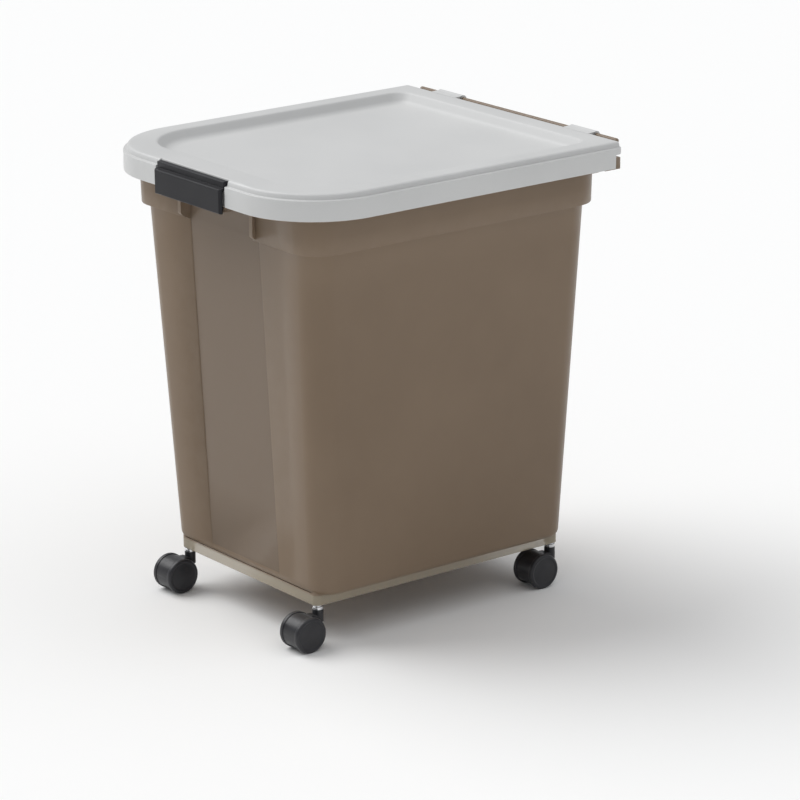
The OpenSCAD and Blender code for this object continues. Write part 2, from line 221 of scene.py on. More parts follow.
# Convex edges lightened, broken up by noise: partly wear rubbed by handling, partly a painted highlight
def makeWearAndHighlightGroup():
    tree, given, result = newGroup("edgeWearAndHighlight", [
        ("Vector", "NodeSocketVector", None), ("Amount", "NodeSocketFloat", 0.5),
        ("Scale", "NodeSocketFloat", 60.0)],
        [("Mask", "NodeSocketFloat")])
    point = tree.nodes.new("ShaderNodeNewGeometry").outputs["Pointiness"]
    edge = rangeNode(tree, point, 0.515, 0.60, 0.0, 1.0)
    noise = noiseNode(tree, given.outputs["Vector"], given.outputs["Scale"])
    broken = rangeNode(tree, noise, 0.35, 0.65, 0.25, 1.0)
    both = mathNode(tree, "MULTIPLY", edge, broken)
    mask = mathNode(tree, "MULTIPLY", both, given.outputs["Amount"], clamp=True)
    tree.links.new(mask, result.inputs["Mask"])
    return tree


# Fine dust that settles on faces that look up
def makeDustGroup():
    tree, given, result = newGroup("settledDust", [
        ("Vector", "NodeSocketVector", None), ("Amount", "NodeSocketFloat", 0.3)],
        [("Mask", "NodeSocketFloat")])
    parts = tree.nodes.new("ShaderNodeSeparateXYZ")
    tree.links.new(tree.nodes.new("ShaderNodeNewGeometry").outputs["Normal"], parts.inputs[0])
    facingUp = rangeNode(tree, parts.outputs["Z"], 0.5, 1.0, 0.0, 1.0)
    patches = rangeNode(tree, noiseNode(tree, given.outputs["Vector"], 14.0, 5.0, 0.6), 0.38, 0.75, 0.0, 1.0)
    specks = rangeNode(tree, noiseNode(tree, given.outputs["Vector"], 420.0, 2.0), 0.62, 0.72, 0.0, 1.0)
    spread = mathNode(tree, "MULTIPLY_ADD", specks, 0.5, mathNode(tree, "MULTIPLY", patches, 0.5))
    resting = mathNode(tree, "MULTIPLY", facingUp, spread)
    mask = mathNode(tree, "MULTIPLY", resting, given.outputs["Amount"], clamp=True)
    tree.links.new(mask, result.inputs["Mask"])
    return tree


grainGroup = makeGrainGroup()
wearAndHighlightGroup = makeWearAndHighlightGroup()
dustGroup = makeDustGroup()


def useGroup(tree, group, values, links):
    node = tree.nodes.new("ShaderNodeGroup")
    node.node_tree = group
    for label, value in values.items():
        node.inputs[label].default_value = value
    for label, source in links.items():
        tree.links.new(source, node.inputs[label])
    return node


def mixColour(tree, factor, first, second):
    node = tree.nodes.new("ShaderNodeMix")
    node.data_type = "RGBA"
    if isinstance(factor, (int, float)):
        node.inputs[0].default_value = factor
    else:
        tree.links.new(factor, node.inputs[0])
    for slot, colour in ((node.inputs[6], first), (node.inputs[7], second)):
        if isinstance(colour, tuple):
            slot.default_value = (*colour, 1)
        else:
            tree.links.new(colour, slot)
    return node.outputs[2]


dustColour = (0.55, 0.53, 0.50)


# One finish: its two tones, the grain, the wear and painted highlight on its edges, the dust and how glossy
# it is
def makeFinish(name, look):
    material = bpy.data.materials.new(name)
    material.use_nodes = True
    tree = material.node_tree
    shader = tree.nodes["Principled BSDF"]
    place = tree.nodes.new("ShaderNodeTexCoord").outputs["Object"]
    scales = {"Grain Scale": look["grain"], "Flow Scale": look["flow"]}
    grain = useGroup(tree, grainGroup, scales, {"Vector": place})
    wearAndHighlight = useGroup(tree, wearAndHighlightGroup, {"Amount": look["wearAndHighlight"]}, {"Vector": place})
    dust = useGroup(tree, dustGroup, {"Amount": look["dust"]}, {"Vector": place})
    colour = mixColour(tree, grain.outputs["Tone"], look["dark"], look["light"])
    # The worn colour on convex edges is partly edge wear and partly a painted highlight
    colour = mixColour(tree, wearAndHighlight.outputs["Mask"], colour, look["wornAndHighlit"])
    colour = mixColour(tree, dust.outputs["Mask"], colour, dustColour)
    rough = rangeNode(tree, grain.outputs["Tone"], 0.0, 1.0, look["rough"][0], look["rough"][1])
    rough = mathNode(tree, "MULTIPLY_ADD", dust.outputs["Mask"], 0.3, rough, clamp=True)
    tree.links.new(colour, shader.inputs["Base Color"])
    tree.links.new(rough, shader.inputs["Roughness"])
    bump = tree.nodes.new("ShaderNodeBump")
    bump.inputs["Strength"].default_value = look["bump"]
    bump.inputs["Distance"].default_value = look.get("bumpDepth", 0.0002)
    tree.links.new(grain.outputs["Height"], bump.inputs["Height"])
    tree.links.new(bump.outputs["Normal"], shader.inputs["Normal"])
    shader.inputs["Metallic"].default_value = look.get("metal", 0.0)
    shader.inputs["IOR"].default_value = look.get("ior", 1.48)
    shader.inputs["Coat Weight"].default_value = look.get("coat", 0.0)
    shader.inputs["Coat Roughness"].default_value = look.get("coatRough", 0.2)
    return material, tree, shader, place, colour


# Each finish's worn colour lightens its convex edges: edge wear and a painted highlight
finishes = {
    "lidPlastic": {"dark": (0.590, 0.594, 0.588), "light": (0.632, 0.636, 0.630),
                   "wornAndHighlit": (0.80, 0.81, 0.80),
                   "grain": 2200.0, "flow": 7.0, "wearAndHighlight": 0.35, "dust": 0.10,
                   "rough": (0.40, 0.50), "bump": 0.14},
    "latchPlastic": {"dark": (0.006, 0.006, 0.008), "light": (0.010, 0.010, 0.013),
                     "wornAndHighlit": (0.07, 0.07, 0.08),
                     "grain": 2600.0, "flow": 30.0, "wearAndHighlight": 0.35, "dust": 0.03,
                     "rough": (0.40, 0.52), "bump": 0.30,
                     "ior": 1.37},
    "casterPlastic": {"dark": (0.010, 0.010, 0.012), "light": (0.018, 0.018, 0.021),
                      "wornAndHighlit": (0.10, 0.10, 0.11),
                      "grain": 3000.0, "flow": 60.0, "wearAndHighlight": 0.35, "dust": 0.22,
                      "rough": (0.30, 0.42), "bump": 0.25},
    "wheelPlastic": {"dark": (0.014, 0.014, 0.017), "light": (0.024, 0.024, 0.028),
                     "wornAndHighlit": (0.12, 0.12, 0.13),
                     "grain": 3000.0, "flow": 70.0, "wearAndHighlight": 0.30, "dust": 0.25,
                     "rough": (0.30, 0.44), "bump": 0.22},
    "zincSteel": {"dark": (0.60, 0.61, 0.63), "light": (0.78, 0.79, 0.80),
                  "wornAndHighlit": (0.90, 0.90, 0.90),
                  "grain": 1500.0, "flow": 220.0, "wearAndHighlight": 0.5, "dust": 0.05,
                  "rough": (0.18, 0.32), "bump": 0.20,
                  "metal": 1.0, "ior": 1.5},
    "gasketFoam": {"dark": (0.70, 0.69, 0.65), "light": (0.80, 0.79, 0.75),
                   "wornAndHighlit": (0.86, 0.85, 0.82),
                   "grain": 900.0, "flow": 40.0, "wearAndHighlight": 0.2, "dust": 0.1,
                   "rough": (0.72, 0.88), "bump": 0.8,
                   "bumpDepth": 0.0004, "ior": 1.4},
}
made = {name: makeFinish(name, look)[0] for name, look in finishes.items()}

smoke = {
    "dark": (0.214, 0.148, 0.092), "light": (0.248, 0.176, 0.114), "wornAndHighlit": (0.42, 0.36, 0.30),
    "grain": 2400.0, "flow": 5.0, "wearAndHighlight": 0.30, "dust": 0.05, "rough": (0.34, 0.44), "bump": 0.07,
    "ior": 1.46, "coat": 0.05, "coatRough": 0.2,
    "panelHalf": 65.6 * mm, "panelFront": -140.0 * mm, "panelLow": 71.0 * mm, "skirtTop": 60.5 * mm,
    "wallAlpha": 0.84, "panelAlpha": 0.62, "skirtAlpha": 0.56,
    "panelTint": (0.262, 0.196, 0.140), "skirtTint": (0.46, 0.40, 0.30),
}


# The tub's smoke-brown plastic: its thin panel and the single wall of its skirt let more light through
def makeSmokePlastic():
    material, tree, shader, place, colour = makeFinish("smokePlastic", smoke)
    parts = tree.nodes.new("ShaderNodeSeparateXYZ")
    tree.links.new(place, parts.inputs[0])
    side = mathNode(tree, "ABSOLUTE", parts.outputs["X"])
    inPanel = mathNode(tree, "LESS_THAN", side, smoke["panelHalf"])
    inFront = mathNode(tree, "LESS_THAN", parts.outputs["Y"], smoke["panelFront"])
    panel = mathNode(tree, "MULTIPLY", inPanel, inFront)
    above = mathNode(tree, "GREATER_THAN", parts.outputs["Z"], smoke["panelLow"])
    panel = mathNode(tree, "MULTIPLY", panel, above)
    skirt = mathNode(tree, "LESS_THAN", parts.outputs["Z"], smoke["skirtTop"])
    colour = mixColour(tree, panel, colour, smoke["panelTint"])
    colour = mixColour(tree, skirt, colour, smoke["skirtTint"])
    tree.links.new(colour, shader.inputs["Base Color"])
    wall = smoke["wallAlpha"]
    alpha = mathNode(tree, "MULTIPLY_ADD", panel, smoke["panelAlpha"] - wall, wall)
    alpha = mathNode(tree, "MULTIPLY_ADD", skirt, smoke["skirtAlpha"] - wall, alpha)
    tree.links.new(alpha, shader.inputs["Alpha"])
    return material


made["smokePlastic"] = makeSmokePlastic()
print("finishes made:", ", ".join(sorted(made)))


# Mesh helpers; sizes are in millimetres until a mesh is finished

def finishPiece(name, bm, smoothAngle=32, merge=0.01):
    bmesh.ops.remove_doubles(bm, verts=bm.verts, dist=merge * mm)
    bmesh.ops.dissolve_degenerate(bm, edges=bm.edges, dist=0.001 * mm)
    bmesh.ops.recalc_face_normals(bm, faces=bm.faces)
    mesh = bpy.data.meshes.new(name)
    bm.to_mesh(mesh)
    bm.free()
    mesh.shade_smooth()
    mesh.set_sharp_from_angle(angle=math.radians(smoothAngle))
    piece = bpy.data.objects.new(name, mesh)
    scene.collection.objects.link(piece)
    return piece


def softenEdges(piece, width, segments=2, angle=38):
    bevel = piece.modifiers.new("softEdges", "BEVEL")
    bevel.width = width * mm
    bevel.segments = segments
    bevel.limit_method = "ANGLE"
    bevel.angle_limit = math.radians(angle)
    bevel.harden_normals = True
    bevel.use_clamp_overlap = True


def assign(piece, body, slot, material, *nodes):
    piece.data.materials.clear()
    piece.data.materials.append(made[material])
    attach(piece, body)
    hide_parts(*nodes)


# A rounded rectangle with a straight-sided notch in its front edge, always with the same number of points
def outlinePoints(halfX, frontY, backY, frontR, backR, notchHalf=60.0, notchY=None, stepY=0.0, steps=20,
                  stepGap=60.0):
    inner = frontY if notchY is None else max(frontY, notchY)
    points = [(-notchHalf - 0.3, frontY), (-notchHalf, inner), (notchHalf, inner), (notchHalf + 0.3, frontY)]
    corners = [(halfX - frontR, frontY + frontR, frontR, -90), (halfX - backR, backY - backR, backR, 0),
               (-halfX + backR, backY - backR, backR, 90), (-halfX + frontR, frontY + frontR, frontR, 180)]
    for index, (x, y, radius, start) in enumerate(corners):
        for step in range(steps + 1):
            angle = math.radians(start + 90 * step / steps)
            points.append((x + radius * math.cos(angle), y + radius * math.sin(angle)))
        if index == 0:
            points += [(halfX, stepY - stepGap), (halfX, stepY + stepGap)]
        if index == 2:
            points += [(-halfX, stepY + stepGap), (-halfX, stepY - stepGap)]
    return points


def loft(bm, rings, closed=False):
    loops = [[bm.verts.new((x * mm, y * mm, z * mm)) for x, y, z in ring] for ring in rings]
    pairs = list(zip(loops, loops[1:]))
    if closed:
        pairs.append((loops[-1], loops[0]))
    for lower, upper in pairs:
        for i in range(len(lower)):
            j = (i + 1) % len(lower)
            bm.faces.new((lower[i], lower[j], upper[j], upper[i]))
    if not closed:
        bm.faces.new(list(reversed(loops[0])))
        bm.faces.new(loops[-1])


# A solid turned about an axis along Z or X; profile is a list of (radius, distance along the axis)
def turned(bm, profile, centre, axis="Z", steps=64):
    loops = []
    for radius, along in profile:
        loop = []
        for step in range(steps):
            angle = 2 * math.pi * step / steps
            a, b = radius * math.cos(angle), radius * math.sin(angle)
            x, y, z = (a, b, along) if axis == "Z" else (along, a, b)
            loop.append(bm.verts.new(((centre[0] + x) * mm, (centre[1] + y) * mm, (centre[2] + z) * mm)))
        loops.append(loop)
    for lower, upper in zip(loops, loops[1:]):
        for i in range(steps):
            j = (i + 1) % steps
            bm.faces.new((lower[i], lower[j], upper[j], upper[i]))
    return loops


def closeTurned(bm, loops):
    bm.faces.new(list(reversed(loops[0])))
    bm.faces.new(loops[-1])


# A (y, z) outline pushed along X
def extruded(bm, outline, fromX, toX):
    left = [bm.verts.new((fromX * mm, y * mm, z * mm)) for y, z in outline]
    right = [bm.verts.new((toX * mm, y * mm, z * mm)) for y, z in outline]
    for i in range(len(left)):
        j = (i + 1) % len(left)
        bm.faces.new((left[i], left[j], right[j], right[i]))
    bm.faces.new(list(reversed(left)))
    bm.faces.new(right)


def block(bm, low, high):
    outline = [(low[1], low[2]), (high[1], low[2]), (high[1], high[2]), (low[1], high[2])]
    extruded(bm, outline, low[0], high[0])


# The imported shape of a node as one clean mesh, with its flat faces whole again
def cleanCopy(node, name, smoothAngle=30):
    bm = bmesh.new()
    bm.from_mesh(frame["nodes"][node].data)
    bmesh.ops.remove_doubles(bm, verts=bm.verts, dist=0.002 * mm)
    bmesh.ops.dissolve_limit(bm, angle_limit=math.radians(0.4), verts=bm.verts, edges=bm.edges)
    mesh = bpy.data.meshes.new(name)
    bm.to_mesh(mesh)
    bm.free()
    mesh.shade_smooth()
    mesh.set_sharp_from_angle(angle=math.radians(smoothAngle))
    piece = bpy.data.objects.new(name, mesh)
    scene.collection.objects.link(piece)
    return piece


# Geometry Nodes trees

def newTree(name, inputs):
    tree = bpy.data.node_groups.new(name, "GeometryNodeTree")
    tree.interface.new_socket("Geometry", in_out="INPUT", socket_type="NodeSocketGeometry")
    for label, kind, value in inputs:
        socket = tree.interface.new_socket(label, in_out="INPUT", socket_type=kind)
        if value is not None:
            socket.default_value = value
    tree.interface.new_socket("Geometry", in_out="OUTPUT", socket_type="NodeSocketGeometry")
    return tree, tree.nodes.new("NodeGroupInput"), tree.nodes.new("NodeGroupOutput")


def endTree(tree, given, geometry, result):
    realize = tree.nodes.new("GeometryNodeRealizeInstances")
    paint = tree.nodes.new("GeometryNodeSetMaterial")
    tree.links.new(geometry, realize.inputs["Geometry"])
    tree.links.new(realize.outputs["Geometry"], paint.inputs["Geometry"])
    tree.links.new(given.outputs["Material"], paint.inputs["Material"])
    tree.links.new(paint.outputs["Geometry"], result.inputs["Geometry"])


# A band of rounded section that runs round a rounded rectangle, such as a seal or the rib that holds it
def makeBandTree():
    tree, given, result = newTree("bandAroundRim", [
        ("Width", "NodeSocketFloat", 0.35), ("Depth", "NodeSocketFloat", 0.4),
        ("Corner", "NodeSocketFloat", 0.03),
        ("Centre Y", "NodeSocketFloat", 0.0), ("Middle Z", "NodeSocketFloat", 0.5),
        ("Section Width", "NodeSocketFloat", 0.005), ("Section Height", "NodeSocketFloat", 0.008),
        ("Section Corner", "NodeSocketFloat", 0.001), ("Material", "NodeSocketMaterial", None)])

    def roundedRectangle(width, height, corner, count):
        shape = tree.nodes.new("GeometryNodeCurvePrimitiveQuadrilateral")
        tree.links.new(given.outputs[width], shape.inputs["Width"])
        tree.links.new(given.outputs[height], shape.inputs["Height"])
        fillet = tree.nodes.new("GeometryNodeFilletCurve")
        if "Mode" in fillet.inputs:
            fillet.inputs["Mode"].default_value = "Poly"
        else:
            fillet.mode = "POLY"
        fillet.inputs["Count"].default_value = count
        tree.links.new(shape.outputs["Curve"], fillet.inputs["Curve"])
        tree.links.new(given.outputs[corner], fillet.inputs["Radius"])
        return fillet.outputs["Curve"]

    path = roundedRectangle("Width", "Depth", "Corner", 20)
    section = roundedRectangle("Section Width", "Section Height", "Section Corner", 5)
    offset = tree.nodes.new("ShaderNodeCombineXYZ")
    tree.links.new(given.outputs["Centre Y"], offset.inputs["Y"])
    tree.links.new(given.outputs["Middle Z"], offset.inputs["Z"])
    move = tree.nodes.new("GeometryNodeSetPosition")
    tree.links.new(path, move.inputs["Geometry"])
    tree.links.new(offset.outputs["Vector"], move.inputs["Offset"])
    sweep = tree.nodes.new("GeometryNodeCurveToMesh")
    tree.links.new(move.outputs["Geometry"], sweep.inputs["Curve"])
    tree.links.new(section, sweep.inputs["Profile Curve"])
    endTree(tree, given, sweep.outputs["Mesh"], result)
    return tree


# The same shape at each point of a row, such as posts or lugs along a rod
def makeRowTree():
    tree, given, result = newTree("shapeAtPoints", [
        ("Shape", "NodeSocketObject", None), ("Scale", "NodeSocketFloat", 1.0),
        ("Material", "NodeSocketMaterial", None)])
    points = tree.nodes.new("GeometryNodeMeshToPoints")
    tree.links.new(given.outputs["Geometry"], points.inputs["Mesh"])
    shape = tree.nodes.new("GeometryNodeObjectInfo")
    tree.links.new(given.outputs["Shape"], shape.inputs["Object"])
    instances = tree.nodes.new("GeometryNodeInstanceOnPoints")
    tree.links.new(points.outputs["Points"], instances.inputs["Points"])
    tree.links.new(shape.outputs["Geometry"], instances.inputs["Instance"])
    tree.links.new(given.outputs["Scale"], instances.inputs["Scale"])
    endTree(tree, given, instances.outputs["Instances"], result)
    return tree


bandTree = makeBandTree()
rowTree = makeRowTree()


# Runs a tree on a mesh and gives back the plain mesh that it makes
def grow(tree, name, values, base=None):
    source = bpy.data.objects.new(name + "Source", base or bpy.data.meshes.new(name + "Source"))
    scene.collection.objects.link(source)
    modifier = source.modifiers.new("grow", "NODES")
    modifier.node_group = tree
    for item in tree.interface.items_tree:
        if item.item_type == "SOCKET" and item.in_out == "INPUT" and item.name in values:
            modifier[item.identifier] = values[item.name]
    bpy.context.view_layer.update()
    ready = source.evaluated_get(bpy.context.evaluated_depsgraph_get())
    mesh = bpy.data.meshes.new_from_object(ready)
    bpy.data.objects.remove(source)
    return mesh


def rowOf(name, shape, places, material):
    base = bpy.data.meshes.new(name + "Points")
    base.from_pydata([Vector(place) * mm for place in places], [], [])
    return grow(rowTree, name, {"Shape": shape, "Scale": 1.0, "Material": made[material]}, base)


def bandOf(name, width, depth, corner, centreY, low, high, thick, sectionCorner, material):
    values = {"Width": (width - thick) * mm, "Depth": (depth - thick) * mm,
              "Corner": (corner - thick / 2) * mm,
              "Centre Y": centreY * mm, "Middle Z": (low + high) / 2 * mm, "Section Width": thick * mm,
              "Section Height": (high - low) * mm, "Section Corner": sectionCorner * mm,
              "Material": made[material]}
    return grow(bandTree, name, values)


# The two rods that the tub carries: the lid's along the back, and the latch's under the front flange
hingeRod = {"y": 229.5, "z": 528.2, "radius": 2.9, "halfLength": 180.0}
latchRod = {"y": -227.5, "z": 498.1, "radius": 1.9, "halfLength": 62.0}


# Lid

lidLow, lidHigh = [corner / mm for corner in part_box("lid")]
lid = {
    "halfX": lidHigh.x, "frontY": lidLow.y, "backY": 222.5, "frontR": 97.0, "backR": 8.0,
    "top": 532.0, "ledge": 525.5, "skirt": lidLow.z, "backSkirt": 518.0, "sideEnd": 211.0,
    "recessX": 171.0, "recessFront": -190.0, "recessBack": 194.5, "recessFrontR": 70.0, "recessBackR": 20.0,
    "pocketHalf": 65.5, "pocketSkirt": 3.0, "pocketBand": 8.0, "step": 3.0,
    "knuckleFrom": 99.0, "knuckleTo": 143.0, "knuckleBore": 2.95, "knuckleOpening": (-128, 172),
    "ribOuter": 178.2, "ribInner": 172.0, "ribCorner": 38.0, "ribLow": 521.6, "ribHigh": 530.0,
    "ribThick": 1.6, "ribLonger": 30.5, "ribCentreY": 10.0,
}


def lidRing(inset, z, pocket, bottomEdge=False, notch=0.0):
    cut = lid["frontY"] + pocket if pocket else None
    # The hinge side has no step. At insets just over the step this puts the inner wall too far out, so the
    # back wall is thin there
    flush = lid["backY"] - (inset if inset < lid["step"] else inset - lid["step"])
    outline = outlinePoints(lid["halfX"] - inset, lid["frontY"] + inset, flush,
                            lid["frontR"] - inset, max(lid["backR"] - inset, 1.5),
                            lid["pocketHalf"] + notch, cut, lid["sideEnd"], stepGap=0.2)
    raised = lid["backSkirt"] - lid["skirt"]
    return [(x, y, z + (raised if bottomEdge and y > lid["sideEnd"] else 0)) for x, y in outline]


def recessRing(inset, z):
    outline = outlinePoints(lid["recessX"] - inset, lid["recessFront"] + inset, lid["recessBack"] - inset,
                            lid["recessFrontR"] - 0.66 * inset, max(lid["recessBackR"] - 0.66 * inset, 4),
                            lid["pocketHalf"])
    return [(x, y, z) for x, y in outline]


def makeLid():
    top, ledge, skirt = lid["top"], lid["ledge"], lid["skirt"]
    band, deep = lid["pocketBand"], lid["pocketSkirt"]
    bm = bmesh.new()
    rings = [recessRing(inset, top - depth) for inset, depth in (
        (22, 12.0), (17, 11.98), (14, 11.8), (11.5, 11.35), (9.4, 10.6), (7.8, 9.6), (6.6, 8.4), (5.8, 7.2),
        (1.9, 2.2), (1.2, 1.25), (0.3, 0.55), (-0.9, 0.15), (-2.4, 0.0))]
    rings += [lidRing(inset, top - depth, pocket) for inset, depth, pocket in (
        (12, 0.0, 0), (8.4, 0.0, band + 1.5), (7.2, 0.12, band + 1.0), (6.1, 0.5, band + 0.4),
        (5.2, 1.3, band), (4.7, 2.2, band), (4.0, 5.2, band), (3.7, 6.0, band), (3.1, 6.4, band))]
    rings += [lidRing(inset, z, deep) for inset, z in (
        (0.9, ledge), (0.35, ledge - 0.15), (0.05, ledge - 0.6), (0.0, ledge - 1.4))]
    rings += [lidRing(inset, z, deep, True) for inset, z in (
        (0.0, skirt + 1.2), (0.12, skirt + 0.5), (0.6, skirt + 0.08), (1.2, skirt))]
    rings += [lidRing(inset, z, deep + 2.5, True, 2.5) for inset, z in (
        (1.9, skirt + 0.1), (2.5, skirt + 0.8))]
    rings += [lidRing(inset, z, pocket, False, 2.5) for inset, z, pocket in (
        (2.5, ledge - 3.6, deep + 2.5), (3.2, ledge - 2.7, deep + 2.5), (6.0, ledge - 2.5, band + 2.5),
        (6.4, top - 5, band + 2.5), (7.6, top - 3, band + 2.5), (9.6, top - 2.5, band + 2.5),
        (14, top - 2.5, 0))]
    rings += [recessRing(inset, top - depth) for inset, depth in (
        (-3.6, 2.5), (-2.2, 3.4), (2.6, 9.4), (4.4, 12.2), (7.4, 13.8), (11, 14.4), (17, 14.5), (22, 14.5))]
    loft(bm, rings)
    return finishPiece("lidShell", bm, 28)


def makeKnuckles(bm):
    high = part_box("lid")[1]
    rodY, rodZ, inner = hingeRod["y"], hingeRod["z"], lid["knuckleBore"]
    outer = high.z / mm - rodZ
    opening = [math.radians(value) for value in lid["knuckleOpening"]]
    steps = 44
    for side in (-1, 1):
        first, last = sorted((side * lid["knuckleFrom"], side * lid["knuckleTo"]))
        ring = [opening[0] + (opening[1] - opening[0]) * step / steps for step in range(steps + 1)]
        outline = [(rodY + outer * math.cos(a), rodZ + outer * math.sin(a)) for a in ring]
        outline += [(rodY + inner * math.cos(a), rodZ + inner * math.sin(a)) for a in reversed(ring)]
        extruded(bm, outline, first, last)
        extruded(bm, [(216.5, 527.6), (226.0, 527.6), (226.4, 531.5), (228.6, 532.9), (224.0, 532.6),
                      (216.5, 532.3)], first, last)


# Two ribs hold the seal between them
def makeRibs(bm):
    for reach in (lid["ribOuter"], lid["ribInner"]):
        corner = lid["ribCorner"] - (lid["ribOuter"] - reach)
        bm.from_mesh(bandOf("gasketRib", reach * 2, (reach + lid["ribLonger"]) * 2, corner, lid["ribCentreY"],
                            lid["ribLow"], lid["ribHigh"], lid["ribThick"], 0.35, "lidPlastic"))


def makeLidPiece():
    shell = makeLid()
    bm = bmesh.new()
    bm.from_mesh(shell.data)
    makeKnuckles(bm)
    makeRibs(bm)
    bpy.data.objects.remove(shell)
    piece = finishPiece("lid_moulding", bm, 30, 0.004)
    softenEdges(piece, 0.35, 2, 50)
    assign(piece, "lid", "lid_plastic", "lidPlastic", "lid")


seal = {"corner": 37.4, "thick": 4.5, "edgeR": 1.5}


def makeSeal():
    low, high = [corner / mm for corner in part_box("lid_gasket")]
    mesh = bandOf("gasket", high.x - low.x, high.y - low.y, seal["corner"], (high.y + low.y) / 2,
                  low.z, high.z, seal["thick"], seal["edgeR"], "gasketFoam")
    piece = bpy.data.objects.new("lid_seal", mesh)
    scene.collection.objects.link(piece)
    mesh.shade_smooth()
    assign(piece, "lid", "gasket_foam", "gasketFoam", "lid_gasket")


makeLidPiece()
makeSeal()
print("lid and seal made")


# Tub

tub = {
    "halfX": 166.0, "frontY": -186.5, "backY": 206.5, "cornerR": 31.0, "footR": 27.0, "lean": 19.5,
    "collarZ": 460.0, "leanEnd": 70.5, "floorZ": 61.5, "rim": 521.0, "wall": 2.4,
    "panelHalf": 66.0, "niche": -185.5, "nicheTop": 505.8,
    "flangeX": 193.5, "flangeFront": -225.0, "flangeBack": 214.5, "flangeR": 92.0,
    "skirtX": 132.4, "skirtFront": -164.9, "skirtBack": 184.9, "skirtR": 7.4, "skirtZ": 49.0,
    "bracketX": 178.0, "bracketLow": 495.5, "bracketTop": 509.0, "bracketFront": 213.0, "bracketBack": 235.0,
    "socketX": 125, "socketY": (-157.5, 177.5), "lugHalf": 69.0, "earFrom": 65.6, "earTo": 71.6,
}


def bodyRing(z, inset, panel):
    fall = min(max((tub["collarZ"] - z) / (tub["collarZ"] - tub["leanEnd"]), 0), 1)
    lean = tub["lean"] * fall
    radius = tub["cornerR"] + (tub["footR"] - tub["cornerR"]) * fall - inset
    cut = tub["niche"] + lean if panel else None
    outline = outlinePoints(tub["halfX"] - lean - inset, tub["frontY"] + lean + inset,
                            tub["backY"] - lean - inset, radius, radius, tub["panelHalf"], cut)
    return [(x, y, z) for x, y in outline]


def collarRing(z, grow, inside=False, niche=True):
    cut = tub["niche"] + (tub["wall"] if inside else 0) if niche else None
    notch = tub["panelHalf"] + (tub["wall"] if inside else 0)
    outline = outlinePoints(tub["halfX"] + grow, tub["frontY"] - grow, tub["backY"] + grow,
                            tub["cornerR"] + 0.5 * grow, tub["cornerR"] + 0.5 * grow, notch, cut)
    return [(x, y, z) for x, y in outline]


def makeTubShell(bm):
    collar, rim, floor = tub["collarZ"], tub["rim"], tub["floorZ"]
    rings = [bodyRing(floor + rise, inset, False) for rise, inset in (
        (0, 14), (0, 7.0), (0.25, 5.3), (0.9, 3.7), (1.9, 2.4), (3.3, 1.3), (5.2, 0.5), (7.4, 0.1))]
    rings += [bodyRing(z, 0, True) for z in (floor + 10.5, 150, 250, 350, 420, collar - 0.6)]
    rings += [collarRing(collar + rise, grow) for rise, grow in (
        (-0.1, 0.3), (0, 1.0), (0, 6.9), (0.25, 7.6), (0.9, 8.0), (20, 8.5))]
    rings.append(collarRing(tub["nicheTop"], 9.1))
    rings.append(collarRing(tub["nicheTop"] + 0.1, 9.1, niche=False))  # the rim above the niche is whole
    rings += [collarRing(rim + rise, grow, niche=False) for rise, grow in (
        (-0.8, 9.45), (-0.2, 9.3), (0, 8.8), (0, 7.8))]
    rings += [collarRing(rim + rise, grow, True, False) for rise, grow in ((-0.2, 7.3), (-0.8, 7.1))]
    rings.append(collarRing(tub["nicheTop"] + 1.8, 6.7, True, False))
    rings.append(collarRing(tub["nicheTop"] + 1.7, 6.7, True))
    rings += [collarRing(collar + rise, grow, True) for rise, grow in (
        (4.2, 5.6), (3.0, 5.2), (2.5, 4.4), (2.5, 0.4), (2.2, -1.4))]
    rings += [bodyRing(z, 2.4, False) for z in (collar + 1.2, 350, 250, 150, floor + 10)]
    rings += [bodyRing(floor + rise, inset, False) for rise, inset in (
        (7.6, 2.6), (5.6, 3.4), (4.0, 4.7), (2.95, 6.4), (2.5, 8.6), (2.5, 16))]
    loft(bm, rings)


def makeTubRings(bm):
    def skirtLine(inset):
        return outlinePoints(tub["skirtX"] - inset, tub["skirtFront"] + inset, tub["skirtBack"] - inset,
                             tub["skirtR"] - inset, tub["skirtR"] - inset)

    base, top = tub["skirtZ"], tub["floorZ"] + 0.9
    loft(bm, [[(x, y, z) for x, y in skirtLine(inset)] for inset, z in (
        (0.25, base + 0.1), (0, base + 0.6), (0, top), (2.2, top), (2.2, base + 0.6), (1.95, base + 0.1),
        (1.5, base), (0.9, base))], closed=True)

    def flangeLine(inset):
        return outlinePoints(tub["flangeX"] - inset, tub["flangeFront"] + inset, tub["flangeBack"] - inset,
                             tub["flangeR"] - inset, max(30 - inset, 10), tub["lugHalf"], -222.0 + inset)

    def collarLine(inset):
        return outlinePoints(tub["halfX"] + 9.0 - inset, tub["frontY"] - 9.0 + inset,
                             tub["backY"] + 7.8 - inset, 35.5, 35.5, tub["lugHalf"], tub["niche"] + 0.4)

    section = [(flangeLine, 0.3, 500.6), (flangeLine, 0, 501.2), (flangeLine, 0, 506.9),
               (flangeLine, 0.6, 507.5), (collarLine, 0.6, 507.5), (collarLine, 0.6, 505.0),
               (flangeLine, 2.0, 505.0), (flangeLine, 2.0, 500.6)]
    loft(bm, [[(x, y, z) for x, y in line(inset)] for line, inset, z in section], closed=True)


def makeSockets(bm):
    profile = [(5.08, 70.5), (5.08, 50.0), (5.6, 49.0), (6.9, 49.0), (7.4, 49.5), (7.4, 71.8), (6.8, 72.5)]
    for x in (-tub["socketX"], tub["socketX"]):
        for y in tub["socketY"]:
            closeTurned(bm, turned(bm, profile, (x, y, 0), "Z", 40))


